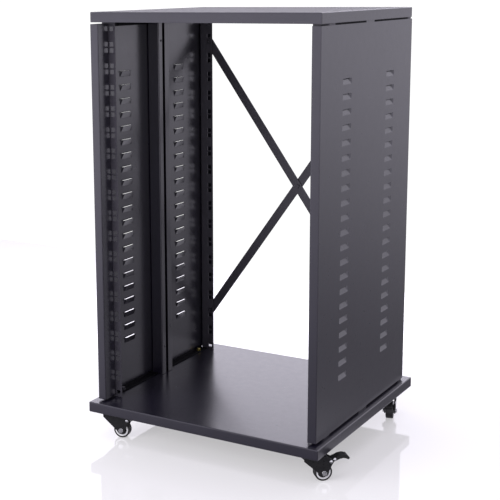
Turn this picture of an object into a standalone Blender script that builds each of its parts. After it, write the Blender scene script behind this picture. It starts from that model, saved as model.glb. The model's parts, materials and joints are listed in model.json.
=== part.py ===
"""Open 18U equipment rack on four braked swivel casters.

X runs left to right as seen from the open front, Y runs from front to back, Z is up.
The origin is on the floor, under the middle of the base.  All lengths are in metres.
"""
import math

import bmesh
import bpy
from mathutils import Vector

MM = 0.001
GAP = 0.3 * MM                       # clearance left between touching pieces
PAST = 2 * MM                        # how far a cutting shape runs past the surface it cuts

# Rack standard
UNIT = 44.45 * MM                    # height of one rack unit
UNITS = 18
HOLE_COLUMN = 465.1 * MM / 2         # rack holes, from the middle plane
HOLE_SIZE = 9.5 * MM                 # square hole for a cage nut
HOLE_STEP = 6.35 * MM                # outer holes of a unit, from the unit's edge

# Base
BASE_W = 543 * MM
BASE_D = 504 * MM
BASE_BOTTOM = 60 * MM
BASE_H = 22.3 * MM
BASE_SHEET = 2 * MM
BASE_LIP = 75 * MM                   # return flange under the base that carries the casters
DECK = BASE_BOTTOM + BASE_H

# Case
CASE_W = 517.5 * MM
CASE_FRONT = -233.2 * MM
CASE_BACK = 229.8 * MM
PANEL_BOTTOM = 86.6 * MM
PANEL_TOP = 891.0 * MM
SHEET = 1.5 * MM
FLANGE = 19.2 * MM                   # width of the panels' front and rear flanges
FRONT_LIP = 37.3 * MM                # return lip behind the front flange
TOP_BOTTOM = 894.7 * MM
TOP_TOP = 915.7 * MM
TOP_FRONT = CASE_FRONT + 1 * MM
TOP_BACK = CASE_BACK - 2 * MM

# Louvres
LOUVRES = 21
LOUVRE_PITCH = 29.6 * MM
LOUVRE_FIRST = 196.2 * MM            # height of the lowest slit
LOUVRE_LENGTH = 42 * MM
LOUVRE_DROP = 12 * MM                # height of a hood, from its slit to its foot
LOUVRE_DEPTH = 5 * MM                # how far a hood stands in from the sheet
HOOD_EDGE = 1.2 * MM                 # straight edge of a hood at its slit
HOOD_SHEET = 1.2 * MM                # the sheet is drawn thinner in a hood
LOUVRE_COLUMNS = (-110.5 * MM, 109.1 * MM)

# Rails, posts and braces
RAIL_BOTTOM = DECK + GAP
RAIL_TOP = TOP_TOP - SHEET - GAP     # rails and posts reach up to the top sheet
RACK_BOTTOM = 86.7 * MM              # lower edge of the lowest rack unit
RAIL_SHEET = 2 * MM
RAIL_INNER = 223.6 * MM              # inner edge of a rail's face, from the middle plane
RAIL_LEG = 28 * MM
FRONT_RAIL_Y = -194.9 * MM
REAR_RAIL_Y = 207.4 * MM
REAR_RAIL_LEG = 18 * MM
POST_FRONT = -19.1 * MM
POST_BACK = 24.8 * MM
POST_INNER = 228.6 * MM
POST_SLOT = (-4 * MM, 6 * MM)        # front and back edges of the slot
BRACE_WIDTH = 20 * MM
BRACE_SHEET = 2 * MM
BRACE_HIGH = RACK_BOTTOM + UNITS * UNIT - 50.8 * MM    # rack holes that take the bars' ends
BRACE_LOW = RACK_BOTTOM + UNITS * UNIT - 704.85 * MM
BRACE_Y = REAR_RAIL_Y + RAIL_SHEET + GAP
BRACE_HOLE = 3.3 * MM
BRACE_BOLT_R = 2.9 * MM
BOLT_END = 0.5 * MM                  # how far a bolt stands out of the rail's face
BRACE_NUT = (6 * MM, 3 * MM)         # radius and height of the nut behind a bar
CROSSING_HEAD = (5 * MM, 2.5 * MM, 3 * MM)   # radius, front height and rear height

# Brackets: long angles that close the gaps under and over the side panels
BRACKET_SHEET = 2 * MM
BRACKET_LEG = 16 * MM
FRONT_BRACKET = (FRONT_RAIL_Y + RAIL_LEG + GAP, POST_FRONT - GAP)
REAR_BRACKET = (POST_BACK + GAP, 205 * MM)   # stops short, so that parts can lie on the rear rail
FOOT_UPRIGHT = 7 * MM
TOP_UPRIGHT = -30 * MM               # hangs down from the top sheet

# Casters
PIVOT_X = 238 * MM
PIVOT_Y = 215 * MM
TRAIL = 26 * MM                      # wheel axle behind the swivel axis
WHEEL_R = 18 * MM
WHEEL_W = 17 * MM
CORE_R = 14.6 * MM
AXLE_R = 2.9 * MM
PLATE = 46 * MM
PLATE_SHEET = 2 * MM
RACE_R = 15 * MM
RACE_BOTTOM = 52.5 * MM
FORK_TOP = RACE_BOTTOM - GAP
FORK_SHEET = 2.3 * MM
FORK_INSIDE = 20 * MM
FORK_HEEL = (-15 * MM, 45 * MM)      # lower rear corner of a cheek, along the trail and up
FORK_TOE = (42 * MM, 34 * MM)
FORK_NOSE = 30 * MM                  # front edge of the fork's bridge
AXLE_EYE_R = 7.5 * MM
PIN = (40 * MM, 41 * MM)             # brake pin, along the trail and up
PIN_R = 1.8 * MM
PIN_EYE_R = 5.5 * MM
PIN_HEAD = (3.6 * MM, 1.5 * MM)      # radius and height
AXLE_HEAD = (5 * MM, 3.2 * MM)
LEVER_W = 18 * MM
LEVER_HUB_R = 4.2 * MM
# Side view of the pedal, out along its underside and back along its top
PEDAL = (
    (50 * MM, 40.5 * MM), (58 * MM, 44 * MM), (66 * MM, 45.5 * MM), (72 * MM, 44 * MM),
    (77 * MM, 41.5 * MM), (79.5 * MM, 45 * MM), (75 * MM, 50.5 * MM),
    (66 * MM, 52.5 * MM), (57 * MM, 51 * MM), (49 * MM, 47 * MM),
)
TYRE_ROUND = 2 * MM                  # rounding of the tyre's shoulders
TYRE_SHOULDER = 0.8 * MM
HUB = (6 * MM, 0.6 * MM)             # radius of the wheel's hub, and how far it stands out
RECESS = (6.6 * MM, 10.4 * MM, 2.5 * MM)     # inner and outer radius and depth
RING = (11.2 * MM, 13.6 * MM, 0.2 * MM)      # inner and outer radius and how far it is set in
# Name, side, end and resting swivel angle of each caster
CASTERS = (
    ("front_left", -1, -1, 13),
    ("front_right", 1, -1, 42),
    ("rear_left", -1, 1, 222),
    ("rear_right", 1, 1, -73),
)

BLACK_PAINT = ("black_powder_coat", (0.012, 0.012, 0.014), 0.42, 0.0)
ZINC = ("zinc_plate", (0.62, 0.62, 0.64), 0.32, 1.0)
TYRE = ("black_tyre", (0.010, 0.010, 0.010), 0.6, 0.0)
GREY_PLASTIC = ("grey_wheel_plastic", (0.55, 0.55, 0.56), 0.4, 0.0)
BLACK_PLASTIC = ("black_plastic", (0.012, 0.012, 0.012), 0.45, 0.0)


def clear_scene():
    for item in list(bpy.data.objects):
        bpy.data.objects.remove(item, do_unlink=True)


def material(look):
    name, colour, roughness, metallic = look
    found = bpy.data.materials.get(name)
    if found:
        return found
    made = bpy.data.materials.new(name)
    made.use_nodes = True
    shader = made.node_tree.nodes["Principled BSDF"]
    shader.inputs["Base Color"].default_value = (*colour, 1.0)
    shader.inputs["Roughness"].default_value = roughness
    shader.inputs["Metallic"].default_value = metallic
    return made


def new_object(name, bm, look):
    bmesh.ops.recalc_face_normals(bm, faces=bm.faces)
    mesh = bpy.data.meshes.new(name)
    bm.to_mesh(mesh)
    bm.free()
    if look:
        mesh.materials.append(material(look))
    made = bpy.data.objects.new(name, mesh)
    bpy.context.scene.collection.objects.link(made)
    return made


def add_prism(bm, outline, low, high, place):
    """Add the solid between two copies of an outline; place(a, b, t) gives each corner."""
    ends = []
    for t in (low, high):
        verts = [bm.verts.new(place(a, b, t)) for a, b in outline]
        ends.append(verts)
    bm.faces.new(ends[0])
    bm.faces.new(list(reversed(ends[1])))
    for i in range(len(outline)):
        j = (i + 1) % len(outline)
        bm.faces.new((ends[0][i], ends[1][i], ends[1][j], ends[0][j]))


def along_z(a, b, t):
    return (a, b, t)


def along_y(a, b, t):
    return (a, t, b)


def add_box(bm, low, high):
    outline = ((low[0], low[1]), (high[0], low[1]), (high[0], high[1]), (low[0], high[1]))
    add_prism(bm, outline, low[2], high[2], along_z)


def box_object(name, boxes, look=None):
    bm = bmesh.new()
    for low, high in boxes:
        add_box(bm, low, high)
    return new_object(name, bm, look)


def boolean(target, tool, operation):
    """Cut, or join, a tool object with the target, and hide the tool."""
    tool.hide_render = True
    tool.display_type = "WIRE"
    step = target.modifiers.new(operation.title(), "BOOLEAN")
    step.object = tool
    step.operation = operation
    step.solver = "EXACT"


def circle(radius, segments, centre=(0.0, 0.0), start=0.0, turn=2 * math.pi):
    """Points of an arc; a whole turn leaves out its repeated last point."""
    whole = abs(turn - 2 * math.pi) < 1e-9
    count = segments if whole else segments + 1
    points = []
    for i in range(count):
        angle = start + turn * i / segments
        points.append((centre[0] + radius * math.cos(angle), centre[1] + radius * math.sin(angle)))
    return points


def folded_sheet(name, rings, front, back, half_w):
    """A closed sheet shape through rectangles: each ring is (inset from the outer edge, height)."""
    bm = bmesh.new()
    loops = []
    for inset, z in rings:
        x = half_w - inset
        corners = ((-x, front + inset), (x, front + inset), (x, back - inset), (-x, back - inset))
        loops.append([bm.verts.new((a, b, z)) for a, b in corners])
    for here, there in zip(loops, loops[1:]):
        for i in range(4):
            j = (i + 1) % 4
            bm.faces.new((here[i], here[j], there[j], there[i]))
    bm.faces.new(loops[0])
    bm.faces.new(list(reversed(loops[-1])))
    return new_object(name, bm, BLACK_PAINT)


def base_pan():
    """Folded down on four sides, with a return flange under its edge."""
    rings = ((0.0, DECK), (0.0, BASE_BOTTOM), (BASE_LIP, BASE_BOTTOM),
             (BASE_LIP, BASE_BOTTOM + BASE_SHEET), (BASE_SHEET, BASE_BOTTOM + BASE_SHEET),
             (BASE_SHEET, DECK - BASE_SHEET))
    folded_sheet("base_pan", rings, -BASE_D / 2, BASE_D / 2, BASE_W / 2)


def top_pan():
    """Folded down on four sides and open underneath."""
    rings = ((0.0, TOP_TOP), (0.0, TOP_BOTTOM), (SHEET, TOP_BOTTOM), (SHEET, TOP_TOP - SHEET))
    folded_sheet("top_pan", rings, TOP_FRONT, TOP_BACK, CASE_W / 2)


def panel_outline(side):
    """Plan of a side panel: wall, front flange with its lip, plain rear flange."""
    outer = CASE_W / 2
    inner = outer - FLANGE
    wall = outer - SHEET
    front_end = CASE_FRONT + FRONT_LIP
    points = [
        (outer, CASE_FRONT), (outer, CASE_BACK), (inner, CASE_BACK),
        (inner, CASE_BACK - SHEET), (wall, CASE_BACK - SHEET),
        (wall, CASE_FRONT + SHEET), (inner + SHEET, CASE_FRONT + SHEET), (inner + SHEET, front_end),
        (inner, front_end), (inner, CASE_FRONT),
    ]
    return [(side * x, y) for x, y in points]


def louvre_wedges(name, side, foot, depth, length, rise):
    """One wedge for each louvre: depth inwards at the slit, nothing at its foot."""
    wall = CASE_W / 2 - SHEET
    outer = wall + foot
    bm = bmesh.new()
    for middle in LOUVRE_COLUMNS:
        for i in range(LOUVRES):
            slit = LOUVRE_FIRST + i * LOUVRE_PITCH + rise
            outline = ((side * outer, slit), (side * (wall - depth), slit),
                       (side * (wall - depth), slit - HOOD_EDGE),
                       (side * outer, slit - LOUVRE_DROP - rise))
            add_prism(bm, outline, middle - length / 2, middle + length / 2, along_y)
    return new_object(name, bm, None)


def side_panel(name, side):
    bm = bmesh.new()
    add_prism(bm, panel_outline(side), PANEL_BOTTOM, PANEL_TOP, along_z)
    panel = new_object(name, bm, BLACK_PAINT)
    hoods = louvre_wedges(name + "_hoods", side, SHEET / 2, LOUVRE_DEPTH, LOUVRE_LENGTH, 0.0)
    boolean(panel, hoods, "UNION")
    depth = LOUVRE_DEPTH - HOOD_SHEET
    slits = louvre_wedges(name + "_slits", side, 2 * SHEET, depth, LOUVRE_LENGTH - 2 * SHEET, SHEET)
    boolean(panel, slits, "DIFFERENCE")


def rack_hole_heights():
    heights = []
    for i in range(UNITS):
        floor = RACK_BOTTOM + i * UNIT
        heights.append(floor + HOLE_STEP)
        heights.append(floor + UNIT - HOLE_STEP)
    return heights


def rail(name, side, face_y, leg):
    """An angle: a face with square holes, and a leg going back along the wall."""
    outer = CASE_W / 2 - SHEET - GAP
    outline = ((RAIL_INNER, face_y), (outer, face_y), (outer, face_y + leg),
               (outer - RAIL_SHEET, face_y + leg), (outer - RAIL_SHEET, face_y + RAIL_SHEET),
               (RAIL_INNER, face_y + RAIL_SHEET))
    bm = bmesh.new()
    add_prism(bm, [(side * x, y) for x, y in outline], RAIL_BOTTOM, RAIL_TOP, along_z)
    made = new_object(name, bm, BLACK_PAINT)
    half = HOLE_SIZE / 2
    holes = []
    for z in rack_hole_heights():
        holes.append(((side * HOLE_COLUMN - half, face_y - PAST, z - half),
                      (side * HOLE_COLUMN + half, face_y + RAIL_SHEET + PAST, z + half)))
    boolean(made, box_object(name + "_holes", holes), "DIFFERENCE")


def mid_post(name, side):
    """A channel against the wall, with its slot facing into the rack."""
    outer = CASE_W / 2 - SHEET - GAP
    slot_front, slot_back = POST_SLOT
    outline = ((outer, POST_FRONT), (outer, POST_BACK), (POST_INNER, POST_BACK),
               (POST_INNER, slot_back), (POST_INNER + SHEET, slot_back),
               (POST_INNER + SHEET, POST_BACK - SHEET), (outer - SHEET, POST_BACK - SHEET),
               (outer - SHEET, POST_FRONT + SHEET), (POST_INNER + SHEET, POST_FRONT + SHEET),
               (POST_INNER + SHEET, slot_front), (POST_INNER, slot_front), (POST_INNER, POST_FRONT))
    bm = bmesh.new()
    add_prism(bm, [(side * x, y) for x, y in outline], RAIL_BOTTOM, RAIL_TOP, along_z)
    new_object(name, bm, BLACK_PAINT)


def brace_bar(name, direction, face_y):
    """A flat bar with round ends, from a high rack hole to a low one on the other side."""
    start = Vector((-direction * HOLE_COLUMN, 0.0, BRACE_HIGH))
    end = Vector((direction * HOLE_COLUMN, 0.0, BRACE_LOW))
    middle = (start + end) / 2
    half = (end - start).length / 2
    slope = math.atan2(end.z - start.z, end.x - start.x)
    radius = BRACE_WIDTH / 2
    outline = circle(radius, 10, (half, 0.0), -math.pi / 2, math.pi)
    outline += circle(radius, 10, (-half, 0.0), math.pi / 2, math.pi)
    bm = bmesh.new()
    add_prism(bm, outline, 0.0, BRACE_SHEET, along_y)
    bar = new_object(name, bm, BLACK_PAINT)
    bm = bmesh.new()
    for x in (-half, 0.0, half):
        add_prism(bm, circle(BRACE_HOLE, 14, (x, 0.0)), -PAST, BRACE_SHEET + PAST, along_y)
    holes = new_object(name + "_holes", bm, None)
    for item in (bar, holes):
        item.location = (middle.x, face_y, middle.z)
        item.rotation_euler = (0.0, -slope, 0.0)
    boolean(bar, holes, "DIFFERENCE")


def turned(name, profile, segments, look):
    """A closed profile of (radius, along) points, spun round the local Y axis."""
    bm = bmesh.new()
    rings = []
    for k in range(segments):
        angle = 2 * math.pi * k / segments - math.pi / 2
        ring = [bm.verts.new((r * math.cos(angle), y, r * math.sin(angle))) for r, y in profile]
        rings.append(ring)
    count = len(profile)
    for k in range(segments):
        here = rings[k]
        there = rings[(k + 1) % segments]
        for i in range(count):
            j = (i + 1) % count
            bm.faces.new((here[i], here[j], there[j], there[i]))
    made = new_object(name, bm, look)
    made.data.shade_smooth()
    made.data.set_sharp_from_angle(angle=math.radians(35))
    return made


def pin_solid(name, sections, segments, look):
    """A solid pin along local Y: each section is (radius, start, end), end to end."""
    bm = bmesh.new()
    rings = []
    for radius, start, end in sections:
        for y in (start, end):
            rings.append([bm.verts.new((x, y, z)) for x, z in circle(radius, segments, start=-math.pi / 2)])
    for here, there in zip(rings, rings[1:]):
        for i in range(segments):
            j = (i + 1) % segments
            bm.faces.new((here[i], here[j], there[j], there[i]))
    bm.faces.new(rings[0])
    bm.faces.new(list(reversed(rings[-1])))
    made = new_object(name, bm, look)
    made.data.shade_smooth()
    made.data.set_sharp_from_angle(angle=math.radians(35))
    return made


def brace_fasteners():
    """A bolt at each end of each bar, and one where the bars cross."""
    first = BRACE_Y
    second = BRACE_Y + BRACE_SHEET + GAP
    ends = (("upper_left", -1, BRACE_HIGH, first), ("lower_right", 1, BRACE_LOW, first),
            ("upper_right", 1, BRACE_HIGH, second), ("lower_left", -1, BRACE_LOW, second))
    for name, side, z, face_y in ends:
        back = face_y + BRACE_SHEET + GAP
        radius, height = BRACE_NUT
        sections = ((BRACE_BOLT_R, REAR_RAIL_Y - BOLT_END, back), (radius, back, back + height))
        bolt = pin_solid("brace_bolt_" + name, sections, 12, BLACK_PAINT)
        bolt.location = (side * HOLE_COLUMN, 0.0, z)
    front = first - GAP
    back = second + BRACE_SHEET + GAP
    radius, ahead, behind = CROSSING_HEAD
    sections = ((radius, front - ahead, front), (BRACE_BOLT_R, front, back), (radius, back, back + behind))
    bolt = pin_solid("brace_crossing_bolt", sections, 12, BLACK_PAINT)
    bolt.location = (0.0, 0.0, (BRACE_HIGH + BRACE_LOW) / 2)


def bracket(name, side, reach, foot, upright):
    """A long angle: an upright against the wall, and a flat leg at the height of foot."""
    outer = CASE_W / 2 - SHEET - GAP
    up = 1 if upright > 0 else -1
    outline = ((outer, foot), (outer, foot + upright), (outer - BRACKET_SHEET, foot + upright),
               (outer - BRACKET_SHEET, foot + up * BRACKET_SHEET),
               (outer - BRACKET_LEG, foot + up * BRACKET_SHEET), (outer - BRACKET_LEG, foot))
    bm = bmesh.new()
    add_prism(bm, [(side * x, z) for x, z in outline], reach[0], reach[1], along_y)
    new_object(name, bm, BLACK_PAINT)


def brackets():
    roof = TOP_TOP - SHEET - GAP
    for end, reach in (("front", FRONT_BRACKET), ("rear", REAR_BRACKET)):
        for hand, side in (("left", -1), ("right", 1)):
            bracket("foot_bracket_%s_%s" % (end, hand), side, reach, DECK + GAP, FOOT_UPRIGHT)
            bracket("top_bracket_%s_%s" % (end, hand), side, reach, roof, TOP_UPRIGHT)


def caster_plate(name):
    half = PLATE / 2
    top = BASE_BOTTOM - GAP
    plate = box_object(name, [((-half, -half, top - PLATE_SHEET), (half, half, top))], BLACK_PAINT)
    bm = bmesh.new()
    add_prism(bm, circle(RACE_R, 24), RACE_BOTTOM, top - PLATE_SHEET / 2, along_z)
    race = new_object(name + "_race", bm, None)
    boolean(plate, race, "UNION")
    return [plate, race]


def fork_outline():
    """Side view of the fork: bridge, heel, axle eye, toe, and the eye of the brake pin."""
    points = [(FORK_HEEL[0], FORK_TOP), FORK_HEEL]
    points += circle(AXLE_EYE_R, 8, (TRAIL, WHEEL_R), math.radians(215), math.radians(130))
    points += [FORK_TOE]
    points += circle(PIN_EYE_R, 5, PIN, math.radians(-45), math.radians(120))
    points += [(FORK_NOSE, FORK_TOP)]
    return points


def fork(name):
    half = FORK_INSIDE / 2
    bm = bmesh.new()
    add_prism(bm, fork_outline(), -half - FORK_SHEET, half + FORK_SHEET, along_y)
    body = new_object(name, bm, BLACK_PAINT)
    inside = ((FORK_HEEL[0] - PAST, -half, 0.0), (PIN[0] + PIN_EYE_R + PAST, half, FORK_TOP - FORK_SHEET))
    hollow = box_object(name + "_hollow", [inside])
    bm = bmesh.new()
    reach = half + 2 * FORK_SHEET
    for centre, radius in (((TRAIL, WHEEL_R), AXLE_R + GAP), (PIN, PIN_R + GAP)):
        add_prism(bm, circle(radius, 12, centre), -reach, reach, along_y)
    holes = new_object(name + "_holes", bm, None)
    boolean(body, hollow, "DIFFERENCE")
    boolean(body, holes, "DIFFERENCE")
    return [body, hollow, holes]


def brake_lever(name):
    """Hub on the brake pin, and a pedal that arches out past the wheel."""
    outline = circle(LEVER_HUB_R, 8, PIN, math.radians(60), math.radians(240)) + list(PEDAL)
    bm = bmesh.new()
    add_prism(bm, outline, -LEVER_W / 2, LEVER_W / 2, along_y)
    lever = new_object(name, bm, BLACK_PLASTIC)
    bm = bmesh.new()
    add_prism(bm, circle(PIN_R + GAP, 12, PIN), -LEVER_W, LEVER_W, along_y)
    hole = new_object(name + "_hole", bm, None)
    boolean(lever, hole, "DIFFERENCE")
    return [lever, hole]


def tyre(name):
    w = WHEEL_W / 2
    half = [(WHEEL_R, w - 1.3 * TYRE_ROUND), (WHEEL_R - TYRE_ROUND / 4, w - TYRE_SHOULDER),
            (WHEEL_R - TYRE_ROUND, w), (CORE_R + GAP, w - TYRE_SHOULDER)]
    profile = [(r, -y) for r, y in reversed(half)] + half
    return turned(name, profile, 32, TYRE)


def wheel_core(name):
    """Hub, dished recess and flat outer ring."""
    w = WHEEL_W / 2
    half = [(AXLE_R + GAP, w + HUB[1]), (HUB[0], w + HUB[1]), (RECESS[0], w - RECESS[2]),
            (RECESS[1], w - RECESS[2]), (RING[0], w - RING[2]), (RING[1], w - RING[2]),
            (CORE_R, w - TYRE_SHOULDER)]
    profile = half + [(r, -y) for r, y in reversed(half)]
    return turned(name, profile, 24, GREY_PLASTIC)


def headed_pin(name, shank, head):
    """A pin through both cheeks of a fork, with a head at each end."""
    side = FORK_INSIDE / 2 + FORK_SHEET + GAP
    radius, height = head
    sections = ((radius, -side - height, -side), (shank, -side, side), (radius, side, side + height))
    return pin_solid(name, sections, 12, ZINC)


def axle_bolt(name):
    return headed_pin(name, AXLE_R, AXLE_HEAD)


def brake_pin(name):
    return headed_pin(name, PIN_R, PIN_HEAD)


def empty_at(name, location, parent):
    pivot = bpy.data.objects.new(name, None)
    bpy.context.scene.collection.objects.link(pivot)
    pivot.location = location
    pivot.parent = parent
    return pivot


def hold(items, parent, shift=(0.0, 0.0)):
    """Parent items to an empty, moving them so that their axis lies on it."""
    for item in items:
        item.parent = parent
        item.location = (-shift[0], 0.0, -shift[1])


def caster(name, side, end, angle):
    """Plate on the base; swivel, wheel and brake lever each on their own axis."""
    root = "caster_" + name
    corner = (side * PIVOT_X, end * PIVOT_Y, 0.0)
    mount = empty_at(root + "_mount", corner, None)
    swivel = empty_at(root + "_swivel_axis", (0.0, 0.0, 0.0), mount)
    swivel.rotation_euler = (0.0, 0.0, math.radians(angle))
    axle = empty_at(root + "_axle_axis", (TRAIL, 0.0, WHEEL_R), swivel)
    pin = empty_at(root + "_pin_axis", (PIN[0], 0.0, PIN[1]), swivel)
    hold(caster_plate(root + "_plate"), mount)
    hold(fork(root + "_fork"), swivel)
    hold([tyre(root + "_tyre"), wheel_core(root + "_wheel_core"), axle_bolt(root + "_axle_bolt")], axle)
    hold([brake_pin(root + "_brake_pin")], pin)
    hold(brake_lever(root + "_brake_lever"), pin, PIN)


def build():
    clear_scene()
    base_pan()
    top_pan()
    for hand, side in (("left", -1), ("right", 1)):
        side_panel("side_panel_" + hand, side)
        rail("rack_rail_front_" + hand, side, FRONT_RAIL_Y, RAIL_LEG)
        rail("rack_rail_rear_" + hand, side, REAR_RAIL_Y, REAR_RAIL_LEG)
        mid_post("mid_post_" + hand, side)
    brace_bar("brace_bar_falling", 1, BRACE_Y)
    brace_bar("brace_bar_rising", -1, BRACE_Y + BRACE_SHEET + GAP)
    brace_fasteners()
    brackets()
    for entry in CASTERS:
        caster(*entry)


build()
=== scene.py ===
"""Looks of the open 18U rack case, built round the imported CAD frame.

X runs left to right seen from the open front, Y front to back, Z up; lengths are in metres.
"""

import json
import math

import bmesh
import bpy
from mathutils import Matrix, Vector


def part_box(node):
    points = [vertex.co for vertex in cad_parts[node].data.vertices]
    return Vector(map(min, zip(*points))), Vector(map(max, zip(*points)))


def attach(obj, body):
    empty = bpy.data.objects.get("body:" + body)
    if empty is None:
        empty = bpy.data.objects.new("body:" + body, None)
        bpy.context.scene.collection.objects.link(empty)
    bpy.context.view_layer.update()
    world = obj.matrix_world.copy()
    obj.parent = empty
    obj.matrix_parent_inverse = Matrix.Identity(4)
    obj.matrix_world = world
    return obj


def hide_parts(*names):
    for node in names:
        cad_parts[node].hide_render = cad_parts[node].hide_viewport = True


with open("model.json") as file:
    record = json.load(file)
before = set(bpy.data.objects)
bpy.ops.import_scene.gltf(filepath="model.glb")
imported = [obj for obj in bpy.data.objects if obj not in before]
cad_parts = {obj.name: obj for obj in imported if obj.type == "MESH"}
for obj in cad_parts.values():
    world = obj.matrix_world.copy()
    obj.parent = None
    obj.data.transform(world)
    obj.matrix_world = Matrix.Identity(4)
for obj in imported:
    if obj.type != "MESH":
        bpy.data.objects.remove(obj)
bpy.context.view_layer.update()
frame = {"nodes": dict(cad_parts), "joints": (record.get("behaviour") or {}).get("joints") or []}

MM = 0.001
SIDES = (("left", -1), ("right", 1))
ENDS = ("front", "rear")
CASTERS = ("front_left", "front_right", "rear_left", "rear_right")

# Sheet metal
PAN_SHEET = 2.0 * MM
SHEET = 1.5 * MM
RAIL_SHEET = 2.0 * MM
BEND = 2.2 * MM                      # outer radius of the folds
BEND_STEPS = 4
FOLDED = 0.5                         # radians between two faces that counts as a fold
EDGE_BREAK = 0.3 * MM                # how far a sheet's cut edges are broken
CUT_EDGE = 60.0                      # degrees over which an edge counts as cut
BASE_LIP = 75 * MM
FLANGE = 19.2 * MM
FRONT_LIP = 37.3 * MM
# Slits at the corners of the top: in from the end, half width, reach each way, height left whole
SEAM_IN = 2.6 * MM
SEAM_HALF = 0.35 * MM
SEAM_REACH = 4 * MM
SEAM_BELOW = 10 * MM
SEAM_LEFT = 3 * MM

# Louvres
LOUVRES = 21
LOUVRE_PITCH = 29.6 * MM
LOUVRE_FIRST = 196.2 * MM
LOUVRE_LENGTH = 42 * MM
LOUVRE_DROP = 12 * MM
LOUVRE_DEPTH = 5.0 * MM
LOUVRE_COLUMNS = (-110.5 * MM, 109.1 * MM)
HOOD_ALONG = (0.0, 0.03, 0.06, 0.09, 0.12, 0.25, 0.5, 0.75, 0.88, 0.91, 0.94, 0.97, 1.0)
HOOD_UP = (0.0, 0.1, 0.25, 0.4, 0.6, 0.8, 1.0)       # mesh lines along and up, in shares of a hood
HOOD_END = 0.09                      # share of the length in which a hood's end rises
HOOD_FRAME = 0.4 * MM                # narrow flat frame, which keeps the sheet's shading flat

# Rails
UNIT = 44.45 * MM
UNITS = 18
RACK_BOTTOM = 86.7 * MM
HOLE_COLUMN = 232.55 * MM
HOLE_SIZE = 9.5 * MM
HOLE_STEP = 6.35 * MM
RAIL_BEND = 2.4 * MM
RAIL_BREAK = 0.35 * MM

# Posts: depth of the two lips that leave the slot between them
POST_FRONT_LIP = 14.4 * MM
POST_REAR_LIP = 18.1 * MM
POST_BEND = 1.6 * MM

# Long angles at the head and foot of the walls
BRACKET_SHEET = 2.0 * MM
ANGLE_BREAK = 0.5 * MM
FOOT_BOLT_Y = (-152 * MM, 178 * MM)
TOP_SCREW_Y = (-135 * MM, 178 * MM)

# Fasteners
SINK = 0.1 * MM                      # how far a head is sunk in the sheet it stands on
SCREW_HEIGHT = 0.55                  # of its head, as a share of its radius
# Side of a pan head, in shares of its radius and height
SCREW_SIDE = ((1.0, 0.0), (1.0, 0.35), (0.93, 0.62), (0.75, 0.85), (0.45, 0.98), (0.05, 1.0))
CROSS_REACH = 0.5                    # recess: length and half width of its arms in radii
CROSS_HALF = 0.11
CROSS_FLOOR = 0.45                   # and height of its floor as a share of the head's
TOP_SCREW_R = 2.7 * MM
TOP_SCREW_UP = 3.5 * MM
POST_SCREW_R = 2.4 * MM
POST_SCREW_IN = 10 * MM
POST_SCREW_END = 66 * MM
FOOT_HEX_R = 4.6 * MM
FOOT_HEX = (1.0 * MM, 5.6 * MM)      # bottom and top of the hexagon
FOOT_HEX_CHAMFER = 0.7 * MM
FOOT_WASHER = (2.6 * MM, 5.6 * MM)   # bore and outer radius
FOOT_WASHER_HIGH = 0.9 * MM
BRACE_BREAK = 0.4 * MM
BRACE_BOLT_BREAK = 0.6 * MM
CROSSING_BOLT_BREAK = 0.9 * MM

# Casters, along the trail and up from the floor
TRAIL = 26 * MM
WHEEL_R = 18 * MM
WHEEL_W = 17 * MM
CORE_R = 14.6 * MM
FORK_INSIDE = 20 * MM
FORK_SHEET = 2.3 * MM
PIN = (40 * MM, 41 * MM)
GAP = 0.3 * MM
CHEEKS = (("near", -1), ("far", 1))

TYRE_SHOULDER = 2.2 * MM
TYRE_ARC = (8.0, 80.0)               # degrees at which the shoulder starts, and its turn
TYRE_TREAD = 4.2 * MM                # from the tyre's side to the flat of its tread
# Halves of the turned profiles, as (radius, distance out from the wheel's or fork's side) in mm
TYRE_WALL = ((CORE_R / MM + 1.0, -0.5), (CORE_R / MM + GAP / MM, -1.2))
WHEEL_RING = ((11.0, -2.2), (11.3, -0.9), (11.9, -0.35), (12.9, -0.2), (13.8, -0.45),
              (CORE_R / MM, -1.3))
WHEEL_HUB = ((3.2, 0.5), (5.6, 0.5), (6.1, 0.1), (6.6, -2.2), (7.6, -2.9), (9.8, -2.9), (10.9, -2.4))
AXLE_SHANK = ((2.5, 1.2), (2.9, 0.8))
FORK_RIVET = ((0.3, 1.5), (2.0, 1.35), (3.0, 0.9), (3.6, 0.0), (1.8, 0.0))
PEDAL_RIVET = ((3.6, 0.0), (3.2, 0.8), (2.0, 1.3), (0.3, 1.5))
AXLE_HEX_R = 4.9 * MM
AXLE_HEX = (0.5 * MM, 3.1 * MM)      # start and end of the head, out from the fork's side
AXLE_HEX_CHAMFER = 0.6 * MM
AXLE_WASHER = (3.0 * MM, 5.0 * MM)
AXLE_WASHER_HIGH = 0.45 * MM
FORK_BREAK = 0.7 * MM

PEDAL_HALF = 9 * MM
PEDAL_BREAK = 0.7 * MM
PEDAL_PIVOT = (48.2 * MM, 43.6 * MM)
RIBS = 4
RIB_LOW = (-0.5 * MM, -7 * MM, -0.3 * MM)
RIB_HIGH = (0.5 * MM, 7 * MM, 0.35 * MM)
RIB_FIRST = (60 * MM, 51.5 * MM)
RIB_STEP = (3 * MM, 0.35 * MM)
RIB_BREAK = 0.2 * MM

PLATE_SHEET = 2.0 * MM
PLATE_CORNER = 6 * MM
PLATE_BREAK = 0.4 * MM
PLATE_SCREW = 17.5 * MM              # out from the pivot both ways
PLATE_SCREW_R = 3.4 * MM
# Ball race, as (radius, height over its foot) in mm, and the radius under the plate
RACE = ((0.4, 0.1), (9.0, 0.1), (13.6, 0.1), (14.8, 0.9), (15.0, 2.0), (14.3, 3.0), (14.3, 3.5),
        (14.9, 4.4))
RACE_HEAD_R = 14.6 * MM
RACE_CORE_R = 0.4 * MM
RACE_UNDER = 2.05 * MM               # its top under the plate's, just inside the sheet

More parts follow.
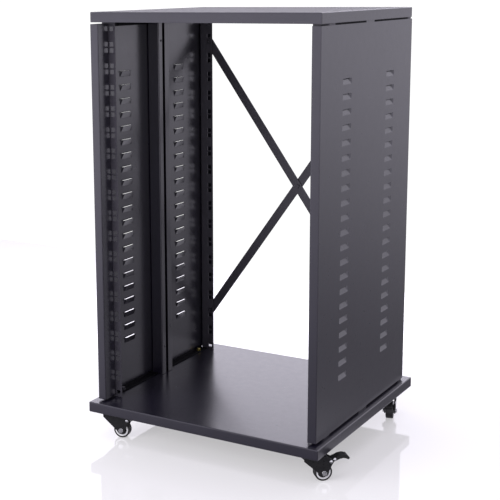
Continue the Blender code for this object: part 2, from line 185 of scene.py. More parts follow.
WELD = 1e-6
FLAT = 1.0                           # degrees between faces that count as one
SHARP = 35.0                         # degrees over which an edge stays sharp
SHARP_PRESSED = 40.0
SHARP_TURNED = 30.0


# ---------------------------------------------------------------- materials

def node(tree, kind, **values):
    made = tree.nodes.new(kind)
    for key, value in values.items():
        setattr(made, key, value)
    return made


def noise(tree, scale, detail=3.0, roughness=0.55):
    coordinate = node(tree, "ShaderNodeTexCoord")
    made = node(tree, "ShaderNodeTexNoise")
    made.inputs["Scale"].default_value = scale
    made.inputs["Detail"].default_value = detail
    made.inputs["Roughness"].default_value = roughness
    tree.links.new(coordinate.outputs["Object"], made.inputs["Vector"])
    return made.outputs["Fac"]


def spread(tree, source, low, high):
    """Map the middle of a noise to the range low to high."""
    made = node(tree, "ShaderNodeMapRange")
    made.inputs["From Min"].default_value = 0.3
    made.inputs["From Max"].default_value = 0.7
    made.inputs["To Min"].default_value = low
    made.inputs["To Max"].default_value = high
    tree.links.new(source, made.inputs["Value"])
    return made.outputs["Result"]


def tint(tree, source, dark, light):
    made = node(tree, "ShaderNodeValToRGB")
    made.color_ramp.elements[0].position = 0.3
    made.color_ramp.elements[1].position = 0.7
    made.color_ramp.elements[0].color = (*dark, 1.0)
    made.color_ramp.elements[1].color = (*light, 1.0)
    tree.links.new(source, made.inputs["Fac"])
    return made.outputs["Color"]


def bump(tree, shader, source, strength, distance):
    made = node(tree, "ShaderNodeBump")
    made.inputs["Strength"].default_value = strength
    made.inputs["Distance"].default_value = distance
    tree.links.new(source, made.inputs["Height"])
    tree.links.new(made.outputs["Normal"], shader.inputs["Normal"])


def look(name, colour, rough=None, relief=None, metallic=0.0, coat=0.0, coat_roughness=0.1,
         specular=0.5):
    """A procedural material: mottled colour, uneven roughness and a fine bump.

    colour is (noise, dark, light), rough is (noise, low, high), relief is
    (noise, strength, distance), and each noise is (scale, detail, roughness).
    """
    made = bpy.data.materials.new(name)
    made.use_nodes = True
    tree = made.node_tree
    shader = tree.nodes["Principled BSDF"]
    shader.inputs["Metallic"].default_value = metallic
    shader.inputs["Coat Weight"].default_value = coat
    shader.inputs["Coat Roughness"].default_value = coat_roughness
    shader.inputs["Specular IOR Level"].default_value = specular
    grain, dark, light = colour
    tree.links.new(tint(tree, noise(tree, *grain), dark, light), shader.inputs["Base Color"])
    if rough:
        grain, low, high = rough
        tree.links.new(spread(tree, noise(tree, *grain), low, high), shader.inputs["Roughness"])
    if relief:
        grain, strength, distance = relief
        bump(tree, shader, noise(tree, *grain), strength, distance)
    return made


FLOOR_ROUGHNESS = 0.05
FLOOR_GLOW = 0.47
FLOOR_GLOW_TINT = (1.0, 0.985, 1.0, 1.0)


def studio_floor():
    """Glossy white table, with a little glow that keeps the shadow under the base light."""
    made = look("studio_floor", ((0.8, 1.0), (0.42, 0.415, 0.425), (0.44, 0.435, 0.445)),
                coat=0.5, coat_roughness=0.04)
    shader = made.node_tree.nodes["Principled BSDF"]
    shader.inputs["Roughness"].default_value = FLOOR_ROUGHNESS
    shader.inputs["Emission Color"].default_value = FLOOR_GLOW_TINT
    shader.inputs["Emission Strength"].default_value = FLOOR_GLOW
    return made


# Semi-gloss black powder coat: orange peel, cloudy gloss and a little handling wear
PAINT = look("powder_coat", ((9.0, 4.0), (0.0052, 0.0042, 0.0105), (0.0080, 0.0068, 0.0145)),
             ((60.0, 6.0, 0.7), 0.27, 0.34), ((900.0, 2.0), 0.12, 0.0004),
             coat=1.0, coat_roughness=0.23)
# Flatter black paint of the rails and braces
SATIN = look("satin_paint", ((14.0, 4.0), (0.030, 0.028, 0.036), (0.040, 0.037, 0.047)),
             ((80.0, 5.0), 0.38, 0.50), ((900.0, 2.0), 0.12, 0.0004),
             coat=0.35, coat_roughness=0.32)
# Near-black paint of the long angles, which show only in the gaps above and below the walls: painted
# shade that makes those gaps read dark. The screws on the top angles take it too
GAP_SHADE_PAINT = look("painted_gap_shade", ((30.0, 4.0), (0.0030, 0.0028, 0.0040), (0.0050, 0.0046, 0.0064)),
              ((120.0,), 0.55, 0.70), specular=0.12)
# Harder black paint of the caster pressings
CASTER_PAINT = look("caster_paint", ((160.0,), (0.008, 0.008, 0.009), (0.013, 0.013, 0.014)),
                    ((300.0,), 0.26, 0.38), ((1800.0,), 0.1, 0.0002),
                    coat=0.1, coat_roughness=0.18, specular=0.25)
ZINC = look("bright_zinc", ((260.0, 5.0), (0.58, 0.59, 0.60), (0.78, 0.78, 0.77)),
            ((500.0,), 0.18, 0.34), ((2500.0,), 0.08, 0.0001), metallic=1.0)
YELLOW = look("yellow_zinc", ((420.0, 5.0), (0.45, 0.36, 0.10), (0.62, 0.55, 0.22)),
              ((700.0,), 0.22, 0.4), metallic=1.0)
RUBBER = look("tyre_rubber", ((220.0, 6.0), (0.009, 0.009, 0.009), (0.020, 0.019, 0.018)),
              ((500.0,), 0.38, 0.58), ((1500.0, 4.0), 0.25, 0.0003))
# Pale moulded ring of the wheel
WHEEL = look("wheel_plastic", ((120.0,), (0.60, 0.60, 0.61), (0.72, 0.72, 0.73)),
             ((600.0,), 0.22, 0.34), ((2200.0,), 0.08, 0.0001), coat=0.2)
PLASTIC = look("black_plastic", ((200.0,), (0.008, 0.008, 0.008), (0.016, 0.016, 0.016)),
               ((400.0,), 0.34, 0.5), ((3000.0,), 0.2, 0.00015), specular=0.3)


# ---------------------------------------------------------------- mesh helpers

def new_piece(name, bm, material, smooth_angle=SHARP):
    bmesh.ops.recalc_face_normals(bm, faces=bm.faces)
    mesh = bpy.data.meshes.new(name)
    bm.to_mesh(mesh)
    bm.free()
    mesh.materials.append(material)
    made = bpy.data.objects.new(name, mesh)
    bpy.context.scene.collection.objects.link(made)
    mesh.shade_smooth()
    mesh.set_sharp_from_angle(angle=math.radians(smooth_angle))
    return made


def settle(made):
    """Apply a piece's modifiers and its placing, so that its mesh is final."""
    graph = bpy.context.evaluated_depsgraph_get()
    mesh = bpy.data.meshes.new_from_object(made.evaluated_get(graph))
    mesh.transform(made.matrix_world)
    made.modifiers.clear()
    made.data = mesh
    made.matrix_world = Matrix.Identity(4)


def bevel(made, width, segments=2, angle=40.0):
    step = made.modifiers.new("Bevel", "BEVEL")
    step.width = width
    step.segments = segments
    step.limit_method = "ANGLE"
    step.angle_limit = math.radians(angle)
    step.harden_normals = False


def thicken(made, thickness, offset=0.0):
    step = made.modifiers.new("Solidify", "SOLIDIFY")
    step.thickness = thickness
    step.offset = offset
    step.use_even_offset = True


def smooth_settled(made, angle=SHARP):
    settle(made)
    made.data.shade_smooth()
    made.data.set_sharp_from_angle(angle=math.radians(angle))


def finish_piece(made, body, *nodes):
    shading = made.modifiers.new("Flat faces", "WEIGHTED_NORMAL")
    shading.keep_sharp = True
    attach(made, body)
    if nodes:
        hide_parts(*nodes)


def circle(radius, count, centre=(0.0, 0.0), start=0.0, turn=2 * math.pi):
    whole = abs(turn - 2 * math.pi) < 1e-9
    total = count if whole else count + 1
    return [(centre[0] + radius * math.cos(start + turn * i / count),
             centre[1] + radius * math.sin(start + turn * i / count)) for i in range(total)]


def rounded(points, radius, steps=BEND_STEPS):
    """An open line of (x, y) points with its inner corners turned into arcs."""
    made = [points[0]]
    for before, here, after in zip(points, points[1:], points[2:]):
        corner = Vector(here)
        back = (Vector(before) - corner).normalized()
        on = (Vector(after) - corner).normalized()
        half = back.angle(on) / 2
        reach = radius / math.tan(half)
        centre = corner + (back + on).normalized() * (radius / math.sin(half))
        first = corner + back * reach - centre
        last = corner + on * reach - centre
        for i in range(steps + 1):
            made.append(tuple(centre + first.slerp(last, i / steps) * radius))
    made.append(points[-1])
    return made


def prism(bm, outline, low, high, place):
    ends = [[bm.verts.new(place(a, b, t)) for a, b in outline] for t in (low, high)]
    bm.faces.new(ends[0])
    bm.faces.new(list(reversed(ends[1])))
    for i in range(len(outline)):
        j = (i + 1) % len(outline)
        bm.faces.new((ends[0][i], ends[1][i], ends[1][j], ends[0][j]))


def along_y(a, b, t):
    return (a, t, b)


def along_z(a, b, t):
    return (a, b, t)


def box(bm, low, high):
    outline = ((low[0], low[1]), (high[0], low[1]), (high[0], high[1]), (low[0], high[1]))
    prism(bm, outline, low[2], high[2], along_z)


def cut(target, tool):
    """A boolean cut, applied at once; the tool is then removed."""
    step = target.modifiers.new("Cut", "BOOLEAN")
    step.object = tool
    step.operation = "DIFFERENCE"
    step.solver = "EXACT"
    bpy.context.view_layer.update()
    settle(target)
    bpy.data.objects.remove(tool, do_unlink=True)


def turned_rings(bm, profile, count):
    """Rings of (radius, along) profile points spun round local Y."""
    return [[bm.verts.new((x, y, z)) for x, z in circle(r, count, start=-math.pi / 2)]
            for r, y in profile]


def band(bm, here, there):
    count = len(here)
    for i in range(count):
        j = (i + 1) % count
        bm.faces.new((here[i], here[j], there[j], there[i]))


def turned(name, profile, count, material):
    """A closed (radius, along) profile spun round local Y."""
    bm = bmesh.new()
    rings = turned_rings(bm, profile, count)
    for here, there in zip(rings, rings[1:] + rings[:1]):
        band(bm, here, there)
    return new_piece(name, bm, material, SHARP_TURNED)


def turned_solid(name, profile, count, material):
    """An open (radius, along) profile spun round local Y and closed at both ends."""
    bm = bmesh.new()
    rings = turned_rings(bm, profile, count)
    for here, there in zip(rings, rings[1:]):
        band(bm, here, there)
    bm.faces.new(rings[0])
    bm.faces.new(list(reversed(rings[-1])))
    return new_piece(name, bm, material, SHARP_TURNED)


def both_sides(half):
    """Half a profile, and its mirror image on the other side."""
    return half + [(r, -t) for r, t in reversed(half)]


def mirrored(half):
    """An open profile from the mirror image of a half's outer end to the outer end itself."""
    return [(r, -t) for r, t in half] + list(reversed(half))


def out_from(face, pairs):
    """Millimetre pairs as a profile in metres, their second numbers counted from a face."""
    return [(r * MM, face + t * MM) for r, t in pairs]


# ---------------------------------------------------------------- sheet-metal pieces

def folded_pan(name, low, high, sheet, lip, material):
    """A sheet folded down on four sides with rounded bends, and a return lip under it."""
    bm = bmesh.new()
    box(bm, low, high)
    bmesh.ops.recalc_face_normals(bm, faces=bm.faces)
    floor = min(bm.faces, key=lambda face: face.calc_center_median().z)
    if lip:
        bmesh.ops.inset_region(bm, faces=[floor], thickness=lip, use_even_offset=True)
    bmesh.ops.delete(bm, geom=[floor], context="FACES_ONLY")
    folds = [e for e in bm.edges if len(e.link_faces) == 2 and e.calc_face_angle(0.0) > FOLDED]
    bmesh.ops.bevel(bm, geom=folds, offset=BEND, segments=BEND_STEPS, profile=0.5, affect="EDGES")
    made = new_piece(name, bm, material)
    thicken(made, sheet, -1.0)
    bevel(made, EDGE_BREAK, 1, CUT_EDGE)
    smooth_settled(made)
    return made


def base_and_top():
    low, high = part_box("base_pan")
    base = folded_pan("base_shell", low, high, PAN_SHEET, BASE_LIP, PAINT)
    finish_piece(base, "frame", "base_pan")
    low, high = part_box("top_pan")
    top = folded_pan("top_shell", low, high, SHEET, 0.0, PAINT)
    seam = bmesh.new()
    for x in (low[0], high[0]):
        for y, inward in ((low[1], 1), (high[1], -1)):
            near = y + inward * SEAM_IN
            box(seam, (x - SEAM_REACH, near - SEAM_HALF, low[2] - SEAM_BELOW),
                (x + SEAM_REACH, near + SEAM_HALF, high[2] - SEAM_LEFT))
    cut(top, new_piece("seam_cutter", seam, PAINT))
    top.data.shade_smooth()
    top.data.set_sharp_from_angle(angle=math.radians(SHARP))
    finish_piece(top, "frame", "top_pan")


def louvre_rows(bottom, top):
    """Heights of the grid's rows, and for each row the louvre it is in with its height share."""
    rows = [(bottom, None, 0.0)]
    for k in range(LOUVRES):
        slit = LOUVRE_FIRST + k * LOUVRE_PITCH
        rows.append((slit - LOUVRE_DROP - HOOD_FRAME, None, 0.0))
        for share in HOOD_UP:
            rows.append((slit - LOUVRE_DROP * (1 - share), k, share))
        rows.append((slit + HOOD_FRAME, None, 0.0))
    rows.append((top, None, 0.0))
    return rows


def wall_line(side, low, high):
    """The panel's plan as (x, y, column, share), along the middle of its sheet."""
    half = SHEET / 2
    outer = max(abs(low[0]), abs(high[0])) - half
    inner = outer - FLANGE + SHEET
    front, rear = low[1] + half, high[1] - half
    plan = [(inner, front + FRONT_LIP - half), (inner, front), (outer, front), (outer, rear),
            (inner - half, rear)]
    line = [(x, y, None, 0.0) for x, y in rounded(plan, BEND - half)]
    columns = []
    for c, middle in enumerate(LOUVRE_COLUMNS):
        start = middle - LOUVRE_LENGTH / 2
        columns.append((outer, start - HOOD_FRAME, None, 0.0))
        for share in HOOD_ALONG:
            columns.append((outer, start + LOUVRE_LENGTH * share, c, share))
        columns.append((outer, start + LOUVRE_LENGTH + HOOD_FRAME, None, 0.0))
    at = max(i for i, point in enumerate(line) if point[1] < 0 and abs(point[0] - outer) < WELD) + 1
    line[at:at] = columns
    return [(side * x, y, c, share) for x, y, c, share in line]


def ease(share):
    share = min(1.0, max(0.0, share))
    return share * share * (3 - 2 * share)


def hood_depth(along, up):
    """How far a pressed hood stands in: a wedge that widens up to its slit, with steep ends."""
    ends = ease(min(along, 1 - along) / HOOD_END)
    return LOUVRE_DEPTH * ends * up


def side_panel(hand, side):
    """Folded panel with real louvres: each slit is an opening between the hood and the sheet."""
    low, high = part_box("side_panel_" + hand)
    rows = louvre_rows(low[2], high[2])
    line = wall_line(side, low, high)
    bm = bmesh.new()
    sheet, hood = {}, {}
    for j, (z, louvre, up) in enumerate(rows):
        for i, (x, y, column, along) in enumerate(line):
            depth = 0.0
            if louvre is not None and column is not None:
                depth = hood_depth(along, up)
            at_slit = up == 1.0 and depth > 0.0
            sheet[i, j] = bm.verts.new((x - side * (0.0 if at_slit else depth), y, z))
            hood[i, j] = bm.verts.new((x - side * depth, y, z)) if at_slit else sheet[i, j]
    for j in range(len(rows) - 1):
        for i in range(len(line) - 1):
            bm.faces.new((sheet[i, j], sheet[i + 1, j], hood[i + 1, j + 1], hood[i, j + 1]))
    panel = new_piece("side_sheet_" + hand, bm, PAINT)
    thicken(panel, SHEET)
    smooth_settled(panel, SHARP_PRESSED)
    finish_piece(panel, "frame", "side_panel_" + hand)


def hole_edges():
    edges = []
    for i in range(UNITS):
        floor = RACK_BOTTOM + i * UNIT
        for middle in (floor + HOLE_STEP, floor + UNIT - HOLE_STEP):
            edges += [middle - HOLE_SIZE / 2, middle + HOLE_SIZE / 2]
    return edges


def rail(end, hand, side):
    """A folded angle with square punched holes for cage nuts."""
    name = "rack_rail_%s_%s" % (end, hand)
    low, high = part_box(name)
    half = RAIL_SHEET / 2
    inner = min(abs(low[0]), abs(high[0]))
    outer = max(abs(low[0]), abs(high[0])) - half
    face_y = low[1] + half
    plan = rounded([(inner, face_y), (outer, face_y), (outer, high[1])], RAIL_BEND)
    for x in (HOLE_COLUMN + HOLE_SIZE / 2, HOLE_COLUMN - HOLE_SIZE / 2):
        plan.insert(1, (x, face_y))
    levels = [low[2]] + hole_edges() + [high[2]]
    bm = bmesh.new()
    grid = [[bm.verts.new((side * x, y, z)) for x, y in plan] for z in levels]
    for j in range(len(levels) - 1):
        for i in range(len(plan) - 1):
            punched = i == 1 and j % 2 == 1
            if not punched:
                bm.faces.new((grid[j][i], grid[j][i + 1], grid[j + 1][i + 1], grid[j + 1][i]))
    made = new_piece("rail_%s_%s" % (end, hand), bm, SATIN)
    thicken(made, RAIL_SHEET)
    bevel(made, RAIL_BREAK, 2, CUT_EDGE)
    smooth_settled(made)
    finish_piece(made, "frame", name)


def mid_post(hand, side):
    """A slotted channel standing against the wall."""
    name = "mid_post_" + hand
    low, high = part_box(name)
    half = SHEET / 2
    inner = min(abs(low[0]), abs(high[0])) + half
    outer = max(abs(low[0]), abs(high[0])) - half
    front, rear = low[1] + half, high[1] - half
    plan = [(inner, front + POST_FRONT_LIP), (inner, front), (outer, front), (outer, rear),
            (inner, rear), (inner, rear - POST_REAR_LIP)]
    line = rounded(plan, POST_BEND)
    bm = bmesh.new()
    ends = [[bm.verts.new((side * x, y, z)) for x, y in line] for z in (low[2], high[2])]
    for i in range(len(line) - 1):
        bm.faces.new((ends[0][i], ends[0][i + 1], ends[1][i + 1], ends[1][i]))
    made = new_piece("post_" + hand, bm, PAINT)
    thicken(made, SHEET)
    bevel(made, EDGE_BREAK, 1, CUT_EDGE)
    smooth_settled(made)
    finish_piece(made, "frame", name)


def bevelled_node(name, piece_name, body, material, width, segments=2, angle=30.0):
    """A fresh copy of a CAD node's flat-faced shape with its edges rounded off."""
    source = frame["nodes"][name]
    bm = bmesh.new()
    bm.from_mesh(source.data)
    bmesh.ops.remove_doubles(bm, verts=bm.verts, dist=WELD)
    bmesh.ops.dissolve_limit(bm, angle_limit=math.radians(FLAT), verts=bm.verts, edges=bm.edges)
    made = new_piece(piece_name, bm, material)
    bevel(made, width, segments, angle)
    smooth_settled(made)
    finish_piece(made, body, name)


def cross_outline(reach, half):
    """A plus sign: its arms' length and half width."""
    quarter = ((reach, -half), (reach, half), (half, half))
    points = []
    for cos, sin in ((1, 0), (0, 1), (-1, 0), (0, -1)):
        points += [(cos * a - sin * b, sin * a + cos * b) for a, b in quarter]
    return points


def screw_head(name, place, normal, radius, material):
    """A pan-head screw with a cross recess, standing on a surface of the frame."""
    height = radius * SCREW_HEIGHT
    head = turned_solid(name, [(radius * r, height * t) for r, t in SCREW_SIDE], 28, material)
    recess = bmesh.new()
    cross = cross_outline(radius * CROSS_REACH, radius * CROSS_HALF)
    prism(recess, cross, height * CROSS_FLOOR, height * 2, along_y)
    cut(head, new_piece(name + "_cross", recess, material))
    turn = Vector(normal).to_track_quat("Y", "Z").to_matrix().to_4x4()
    put(head, Matrix.Translation(Vector(place)) @ turn, "frame")


def washer(name, radii, low, high, material):
    bore, rim = radii
    return turned(name, [(bore, low), (rim, low), (rim, high), (bore, high)], 40, material)


def foot_bolt(name, place, material):
    """Hex head on a washer, standing on the flat leg of a foot angle."""
    upright = Matrix.Translation(place) @ Matrix.Rotation(math.pi / 2, 4, "X")
    bm = bmesh.new()
    hex_profile(bm, FOOT_HEX_R, *FOOT_HEX, FOOT_HEX_CHAMFER)
    put(new_piece(name, bm, material), upright, "frame")
    put(washer(name + "_washer", FOOT_WASHER, 0.0, FOOT_WASHER_HIGH, material), upright, "frame")


def frame_fasteners():
    """Screws that hold the long angles and the posts."""
    for hand, side in SIDES:
        for end, bolt_y, screw_y in zip(ENDS, FOOT_BOLT_Y, TOP_SCREW_Y):
            low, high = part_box("foot_bracket_%s_%s" % (end, hand))
            material = YELLOW if end == "rear" else SATIN
            place = ((low[0] + high[0]) / 2, bolt_y, low[2] + BRACKET_SHEET - SINK)
            foot_bolt("foot_bolt_%s_%s" % (end, hand), place, material)
            low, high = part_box("top_bracket_%s_%s" % (end, hand))
            face = side * (max(abs(low[0]), abs(high[0])) - BRACKET_SHEET - SINK)
            # These screws take the same near-black painted shade as the top angles they hold
            screw_head("top_screw_%s_%s" % (end, hand), (face, screw_y, low[2] + TOP_SCREW_UP),
                       (-side, 0, 0), TOP_SCREW_R, GAP_SHADE_PAINT)
        low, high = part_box("mid_post_" + hand)
        inner = side * min(abs(low[0]), abs(high[0]))
        for end, height in (("lower", low[2] + POST_SCREW_END), ("upper", high[2] - POST_SCREW_END)):
            screw_head("post_screw_%s_%s" % (end, hand), (inner, low[1] + POST_SCREW_IN, height),
                       (-side, 0, 0), POST_SCREW_R, SATIN)


def braces():
    for slope in ("falling", "rising"):
        bevelled_node("brace_bar_" + slope, "brace_" + slope, "frame", SATIN, BRACE_BREAK)
    for corner in ("upper_left", "upper_right", "lower_left", "lower_right"):
        bevelled_node("brace_bolt_" + corner, "bolt_" + corner, "frame", SATIN, BRACE_BOLT_BREAK, 3)
    bevelled_node("brace_crossing_bolt", "bolt_crossing", "frame", SATIN, CROSSING_BOLT_BREAK, 3)


def brackets():
    for hand, _ in SIDES:
        for end in ENDS:
            for level in ("foot", "top"):
                place = "%s_%s" % (end, hand)
                # The long angles take the near-black painted shade that darkens the gaps at the head
                # and foot of the walls
                bevelled_node(level + "_bracket_" + place, level + "_angle_" + place, "frame", GAP_SHADE_PAINT,
                              ANGLE_BREAK)


# ---------------------------------------------------------------- casters

def caster_frame(name):
    """Matrix of a caster: X along its trail, Y along its axle, origin on the floor by its pivot."""
    joints = {joint["name"]: joint for joint in frame["joints"]}
    pivot = Vector(joints["caster_%s_swivel_joint" % name]["pos_m"])
    axle = Vector(joints["caster_%s_wheel_joint" % name]["pos_m"])
    turn = math.atan2(axle.y - pivot.y, axle.x - pivot.x)
    return Matrix.Translation((pivot.x, pivot.y, 0.0)) @ Matrix.Rotation(turn, 4, "Z")


def put(made, place, body, *nodes):
    made.matrix_world = place
    bpy.context.view_layer.update()
    smooth_settled(made, SHARP_TURNED)
    finish_piece(made, body, *nodes)


def hex_profile(bm, radius, low, high, chamfer):
    """A hexagon head that narrows, or with a negative chamfer widens, at its outer end."""
    rings = []
    for share, t in ((1.0, low), (1.0, high - chamfer), (1.0 - chamfer / radius, high)):
        rings.append([bm.verts.new((x, t, z)) for x, z in circle(radius * share, 6)])
    for here, there in zip(rings, rings[1:]):
        band(bm, here, there)
    bm.faces.new(rings[0])
    bm.faces.new(list(reversed(rings[-1])))


def caster_wheel(name, base, body):
    """Rounded tyre, pale ring, and a dark dished centre."""
    root = "caster_" + name
    axle = base @ Matrix.Translation((TRAIL, 0.0, WHEEL_R))
    w = WHEEL_W / 2
    start, turn = (math.radians(angle) for angle in TYRE_ARC)
    shoulder = circle(TYRE_SHOULDER, 5, (WHEEL_R - TYRE_SHOULDER, w - TYRE_SHOULDER), start, turn)
    tyre = [(WHEEL_R, w - TYRE_TREAD)] + shoulder + out_from(w, TYRE_WALL)
    put(turned("tyre_" + name, both_sides(tyre), 96, RUBBER), axle, body, root + "_tyre")
    ring = turned("wheel_ring_" + name, both_sides(out_from(w, WHEEL_RING)), 80, WHEEL)
    put(ring, axle, body, root + "_wheel_core")
    put(turned("wheel_hub_" + name, both_sides(out_from(w, WHEEL_HUB)), 64, PLASTIC), axle, body)


def caster_bolts(name, base, body):
    root = "caster_" + name
    side = FORK_INSIDE / 2 + FORK_SHEET + GAP
    axle = base @ Matrix.Translation((TRAIL, 0.0, WHEEL_R))
    shank = turned_solid("axle_shank_" + name, mirrored(out_from(side, AXLE_SHANK)), 32, ZINC)
    put(shank, axle, body, root + "_axle_bolt")
    for hand, sign in CHEEKS:
        low, high = (sign * (side + t) for t in AXLE_HEX)
        bm = bmesh.new()
        hex_profile(bm, AXLE_HEX_R, low, high, AXLE_HEX_CHAMFER * sign)
        put(new_piece("axle_head_%s_%s" % (hand, name), bm, ZINC), axle, body)
        put(washer("axle_washer_%s_%s" % (hand, name), AXLE_WASHER, sign * side,
                   sign * (side + AXLE_WASHER_HIGH), ZINC), axle, body)
    pin = base @ Matrix.Translation((PIN[0], 0.0, PIN[1]))
    rivet = turned_solid("brake_rivet_" + name, mirrored(out_from(side, FORK_RIVET)), 32, ZINC)
    put(rivet, pin, body, root + "_brake_pin")


def caster_lever(name, base, body):
    """Moulded pedal: arched, ribbed on top, with a zinc rivet in each cheek."""
    bevelled_node("caster_%s_brake_lever" % name, "pedal_" + name, body, PLASTIC, PEDAL_BREAK, 3, 25.0)
    pivot = base @ Matrix.Translation((PEDAL_PIVOT[0], 0.0, PEDAL_PIVOT[1]))
    for hand, sign in CHEEKS:
        dome = [(r, sign * t) for r, t in out_from(PEDAL_HALF, PEDAL_RIVET)]
        put(turned_solid("pedal_rivet_%s_%s" % (hand, name), dome, 28, ZINC), pivot, body)
    for i in range(RIBS):
        bm = bmesh.new()
        box(bm, RIB_LOW, RIB_HIGH)
        rib = new_piece("pedal_rib_%d_%s" % (i, name), bm, PLASTIC)
        bevel(rib, RIB_BREAK, 2, 30.0)
        x, z = (first + i * step for first, step in zip(RIB_FIRST, RIB_STEP))
        put(rib, base @ Matrix.Translation((x, 0.0, z)), body)


def plate_outline(half):
    """A square with rounded corners, round the pivot."""
    outline = []
    for quarter in range(4):
        x = (half - PLATE_CORNER) * (1 if quarter in (0, 3) else -1)
        y = (half - PLATE_CORNER) * (1 if quarter in (0, 1) else -1)
        outline += circle(PLATE_CORNER, 6, (x, y), quarter * math.pi / 2, math.pi / 2)
    return outline


def caster_race(name):
    """Plate with rounded corners and screws, and the ball race that hangs under it."""
    root = "caster_" + name
    low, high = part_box(root + "_plate")
    centre = (low + high) / 2
    middle = Matrix.Translation((centre.x, centre.y, 0.0))
    bm = bmesh.new()
    prism(bm, plate_outline((high[0] - low[0]) / 2), high[2] - PLATE_SHEET, high[2], along_z)
    plate = new_piece("plate_" + name, bm, CASTER_PAINT)
    bevel(plate, PLATE_BREAK, 2, 30.0)
    put(plate, middle, "frame", root + "_plate")
    top = high[2] - RACE_UNDER
    profile = out_from(low[2], RACE) + [(RACE_HEAD_R, top), (RACE_CORE_R, top)]
    race = turned_solid("race_" + name, profile, 56, CASTER_PAINT)
    put(race, middle @ Matrix.Rotation(math.pi / 2, 4, "X"), "frame")
    for i, (sx, sy) in enumerate(((-1, -1), (1, -1), (1, 1), (-1, 1))):
        place = (centre.x + sx * PLATE_SCREW, centre.y + sy * PLATE_SCREW, high[2] - PLATE_SHEET)
        screw_head("plate_screw_%d_%s" % (i, name), place, (0, 0, -1), PLATE_SCREW_R, ZINC)


def casters():
    for name in CASTERS:
        root = "caster_" + name
        base = caster_frame(name)
        caster_race(name)
        bevelled_node(root + "_fork", "fork_" + name, root + "_swivel", CASTER_PAINT, FORK_BREAK, 3)
        caster_bolts(name, base, root + "_swivel")
        caster_wheel(name, base, root + "_wheel")
        caster_lever(name, base, root + "_brake")


# ---------------------------------------------------------------- stage, light and camera

FLOOR_X = (-2.5, 2.0)                # edges of the floor
FLOOR_Y = (-3.0, 1.25)
# Each soft light: name, place, aim, size, watts
LIGHTS = (
    ("front_light", (-1.2, -2.6, 1.3), (0.0, 0.0, 0.1), (2.2, 1.4), 72.0),
    ("top_light", (0.0, 0.2, 2.7), (0.0, 0.0, 0.5), (2.0, 2.0), 16.0),
)
# Brightness of the room as the case reflects it: (upward part of the direction, brightness)
ROOM_BACK = (
    (-0.60, 1.10), (-0.45, 0.95), (-0.36, 0.10), (-0.28, 0.15), (-0.17, 0.38), (-0.03, 0.64),
    (0.02, 0.50), (0.12, 0.60), (0.22, 0.90), (0.80, 1.0))
ROOM_BACK_LEFT = (
    (-0.60, 0.20), (-0.44, 0.08), (-0.36, 0.03), (-0.28, 0.07), (-0.17, 0.28), (-0.03, 0.44),
    (0.02, 0.10), (0.15, 0.10), (0.22, 0.8), (0.29, 3.2), (0.33, 1.2), (0.80, 1.0))
ROOM_BACK_RIGHT = (
    (-0.60, 0.30), (-0.42, 0.08), (-0.30, 0.20), (-0.17, 0.55), (-0.03, 1.15), (0.05, 1.2),
    (0.15, 0.6), (0.22, 0.90), (0.80, 1.0))
ROOM_FRONT = (
    (-0.42, 0.13), (-0.30, 0.34), (-0.17, 0.80), (-0.07, 1.5), (0.0, 1.4), (0.30, 0.8), (0.80, 1.0))
ROOM_FRONT_LEFT = (
    (-0.42, 0.22), (-0.30, 0.70), (-0.17, 1.45), (-0.07, 2.1), (0.0, 0.9), (0.30, 0.6), (0.80, 1.0))
# Where one part of the room gives way to the next: across from left to right, and back to front
BACK_LEFT_TO_BACK = (-0.15, 0.25)
BACK_TO_BACK_RIGHT = (0.42, 0.58)
FRONT_LEFT_TO_FRONT = (-0.65, -0.35)
BACK_TO_FRONT = (0.4, -0.4)
BACKDROP = 1.1                       # brightness of the plain white behind the case
ROOM_TINT = (1.0, 0.965, 1.10, 1.0)


def studio():
    scene = bpy.context.scene
    scene.view_settings.view_transform = "Standard"
    bm = bmesh.new()
    (left, right), (near, far) = FLOOR_X, FLOOR_Y
    corners = ((left, near), (right, near), (right, far), (left, far))
    bm.faces.new([bm.verts.new((x, y, 0.0)) for x, y in corners])
    floor = new_piece("floor", bm, studio_floor())
    floor.visible_glossy = False
    room()
    for name, place, aim, size, power in LIGHTS:
        soft_light(name, place, aim, size, power)


def brightness(tree, height, stops):
    """A ramp of grey over height, with its real values scaled up afterwards."""
    low, high = stops[0][0], stops[-1][0]
    most = max(value for _, value in stops)
    place = node(tree, "ShaderNodeMapRange")
    place.inputs["From Min"].default_value = low
    place.inputs["From Max"].default_value = high
    tree.links.new(height, place.inputs["Value"])
    ramp = node(tree, "ShaderNodeValToRGB")
    marks = ramp.color_ramp.elements
    while len(marks) < len(stops):
        marks.new(0.5)
    for mark, (z, value) in zip(marks, stops):
        mark.position = (z - low) / (high - low)
        mark.color = (value / most, value / most, value / most, 1.0)
    tree.links.new(place.outputs["Result"], ramp.inputs["Fac"])
    scaled = node(tree, "ShaderNodeMath", operation="MULTIPLY")
    scaled.inputs[1].default_value = most
    tree.links.new(ramp.outputs["Color"], scaled.inputs[0])
    return scaled.outputs["Value"]


def blended(tree, along, reach, here, there):
    """From one brightness to the other as a part of the direction runs over the reach."""
    share = node(tree, "ShaderNodeMapRange", interpolation_type="SMOOTHSTEP")
    share.inputs["From Min"].default_value, share.inputs["From Max"].default_value = reach
    tree.links.new(along, share.inputs["Value"])
    mix = node(tree, "ShaderNodeMix")
    tree.links.new(share.outputs["Result"], mix.inputs["Factor"])
    tree.links.new(here, mix.inputs["A"])
    tree.links.new(there, mix.inputs["B"])
    return mix.outputs["Result"]


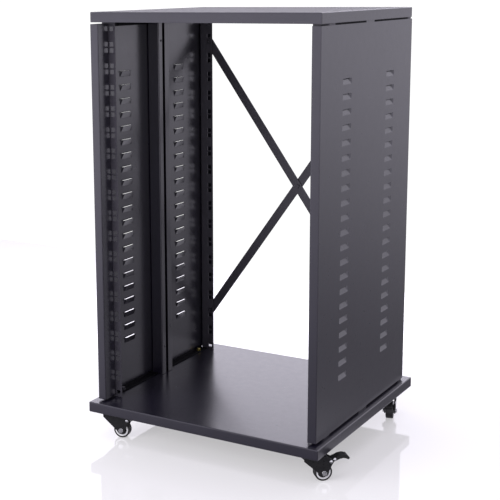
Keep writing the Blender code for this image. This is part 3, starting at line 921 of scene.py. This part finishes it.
def room():
    """Plain white to look at; a soft studio, dark below and bright above, in reflections."""
    world = bpy.data.worlds.new("studio")
    bpy.context.scene.world = world
    world.use_nodes = True
    tree = world.node_tree
    background = tree.nodes["Background"]
    coordinate = node(tree, "ShaderNodeTexCoord")
    split = node(tree, "ShaderNodeSeparateXYZ")
    tree.links.new(coordinate.outputs["Generated"], split.inputs["Vector"])
    across, depth, height = split.outputs
    back_left, back, back_right, front_left, front = (
        brightness(tree, height, stops)
        for stops in (ROOM_BACK_LEFT, ROOM_BACK, ROOM_BACK_RIGHT, ROOM_FRONT_LEFT, ROOM_FRONT))
    back = blended(tree, across, BACK_LEFT_TO_BACK, back_left, back)
    back = blended(tree, across, BACK_TO_BACK_RIGHT, back, back_right)
    front = blended(tree, across, FRONT_LEFT_TO_FRONT, front_left, front)
    level = blended(tree, depth, BACK_TO_FRONT, back, front)
    tree.links.new(level, background.inputs["Strength"])
    background.inputs["Color"].default_value = ROOM_TINT
    white = node(tree, "ShaderNodeBackground")
    white.inputs["Color"].default_value = (1.0, 1.0, 1.0, 1.0)
    white.inputs["Strength"].default_value = BACKDROP
    seen = node(tree, "ShaderNodeLightPath")
    either = node(tree, "ShaderNodeMixShader")
    tree.links.new(seen.outputs["Is Camera Ray"], either.inputs["Fac"])
    tree.links.new(background.outputs["Background"], either.inputs[1])
    tree.links.new(white.outputs["Background"], either.inputs[2])
    tree.links.new(either.outputs["Shader"], tree.nodes["World Output"].inputs["Surface"])


def soft_light(name, place, aim, size, power):
    data = bpy.data.lights.new(name, "AREA")
    data.shape = "RECTANGLE"
    data.size, data.size_y = size
    data.energy = power
    lamp = bpy.data.objects.new(name, data)
    bpy.context.scene.collection.objects.link(lamp)
    lamp.location = place
    lamp.rotation_mode = "QUATERNION"
    lamp.rotation_quaternion = (Vector(aim) - Vector(place)).to_track_quat("-Z", "Y")
    lamp.visible_camera = False
    lamp.visible_glossy = False


# Camera, in metres and degrees; the lens, film width in mm, and the shift in widths of the film
CAMERA_PLACE = (1.17146, -2.22001, 0.96870)
CAMERA_TURN = 32.25
CAMERA_TILT = 11.01
CAMERA_ROLL = -0.70
CAMERA_LENS = 84.9
CAMERA_FILM = 36.0
CAMERA_NEAR = 50 * MM
CAMERA_SHIFT = (0.17, -0.072)


def camera():
    data = bpy.data.cameras.new("camera")
    data.sensor_width = CAMERA_FILM
    data.lens = CAMERA_LENS
    data.shift_x, data.shift_y = CAMERA_SHIFT
    data.clip_start = CAMERA_NEAR
    made = bpy.data.objects.new("camera", data)
    bpy.context.scene.collection.objects.link(made)
    turn = Matrix.Rotation(math.radians(CAMERA_TURN), 4, "Z")
    tilt = Matrix.Rotation(math.radians(90.0 - CAMERA_TILT), 4, "X")
    roll = Matrix.Rotation(math.radians(CAMERA_ROLL), 4, "Z")
    made.matrix_world = Matrix.Translation(CAMERA_PLACE) @ turn @ tilt @ roll
    bpy.context.scene.camera = made


def main():
    camera()
    base_and_top()
    for hand, side in SIDES:
        side_panel(hand, side)
        mid_post(hand, side)
        for end in ENDS:
            rail(end, hand, side)
    braces()
    brackets()
    frame_fasteners()
    casters()
    studio()


main()
